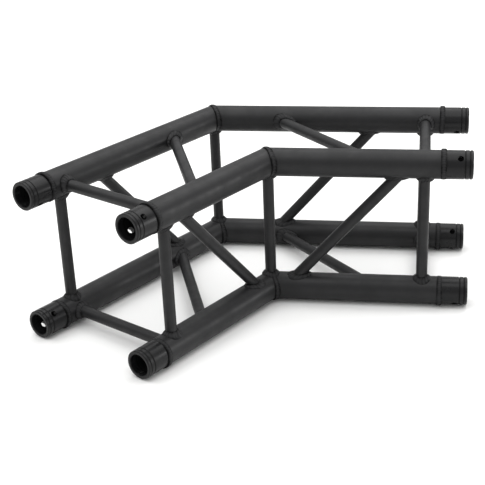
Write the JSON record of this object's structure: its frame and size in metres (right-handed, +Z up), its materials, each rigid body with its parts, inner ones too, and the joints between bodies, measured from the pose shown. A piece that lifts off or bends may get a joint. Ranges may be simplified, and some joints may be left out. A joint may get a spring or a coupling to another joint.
{
  "type": "box truss corner",
  "caption": "Welded black box truss corner that joins two straight truss runs at 120 degrees, with conical coupler sockets and cross pin holes at both ends.",
  "frame": {"origin": "under the middle of the part's bounding box, on the surface that it stands on", "axes": "+Z up; X across the two arms, with the mitre plane at X = 0; +Y towards the outer side of the corner"},
  "size_m": [0.875, 0.5048, 0.2924],
  "materials": {
    "chord_coat": "satin black powder coat on aluminium tube",
    "brace_coat": "satin black powder coat on small aluminium tube",
    "receiver_coat": "smoother black coat on turned aluminium",
    "weld_coat": "black coat over rippled weld beads"
  },
  "bodies": {
    "root": {"corner_inner_bottom_mitre_weld": "weld_coat", "corner_inner_top_mitre_weld": "weld_coat", "corner_inner_upright": "brace_coat", "corner_inner_upright_welds": "weld_coat", "corner_outer_bottom_mitre_weld": "weld_coat", "corner_outer_top_mitre_weld": "weld_coat", "corner_outer_upright": "brace_coat", "corner_outer_upright_welds": "weld_coat", "left_bottom_end_crossbar": "brace_coat", "left_bottom_plan_diagonal": "brace_coat", "left_inner_bottom_brace_welds": "weld_coat", "left_inner_bottom_chord": "chord_coat", "left_inner_bottom_receiver": "receiver_coat", "left_inner_bottom_receiver_weld": "weld_coat", "left_inner_end_upright": "brace_coat", "left_inner_side_diagonal": "brace_coat", "left_inner_top_brace_welds": "weld_coat", "left_inner_top_chord": "chord_coat", "left_inner_top_receiver": "receiver_coat", "left_inner_top_receiver_weld": "weld_coat", "left_outer_bottom_brace_welds": "weld_coat", "left_outer_bottom_chord": "chord_coat", "left_outer_bottom_receiver": "receiver_coat", "left_outer_bottom_receiver_weld": "weld_coat", "left_outer_end_upright": "brace_coat", "left_outer_side_diagonal": "brace_coat", "left_outer_top_brace_welds": "weld_coat", "left_outer_top_chord": "chord_coat", "left_outer_top_receiver": "receiver_coat", "left_outer_top_receiver_weld": "weld_coat", "left_top_end_crossbar": "brace_coat", "left_top_plan_diagonal": "brace_coat", "right_bottom_end_crossbar": "brace_coat", "right_bottom_plan_diagonal": "brace_coat", "right_inner_bottom_brace_welds": "weld_coat", "right_inner_bottom_chord": "chord_coat", "right_inner_bottom_receiver": "receiver_coat", "right_inner_bottom_receiver_weld": "weld_coat", "right_inner_end_upright": "brace_coat", "right_inner_side_diagonal": "brace_coat", "right_inner_top_brace_welds": "weld_coat", "right_inner_top_chord": "chord_coat", "right_inner_top_receiver": "receiver_coat", "right_inner_top_receiver_weld": "weld_coat", "right_outer_bottom_brace_welds": "weld_coat", "right_outer_bottom_chord": "chord_coat", "right_outer_bottom_receiver": "receiver_coat", "right_outer_bottom_receiver_weld": "weld_coat", "right_outer_end_upright": "brace_coat", "right_outer_side_diagonal": "brace_coat", "right_outer_top_brace_welds": "weld_coat", "right_outer_top_chord": "chord_coat", "right_outer_top_receiver": "receiver_coat", "right_outer_top_receiver_weld": "weld_coat", "right_top_end_crossbar": "brace_coat", "right_top_plan_diagonal": "brace_coat"}
  },
  "joints": []
}
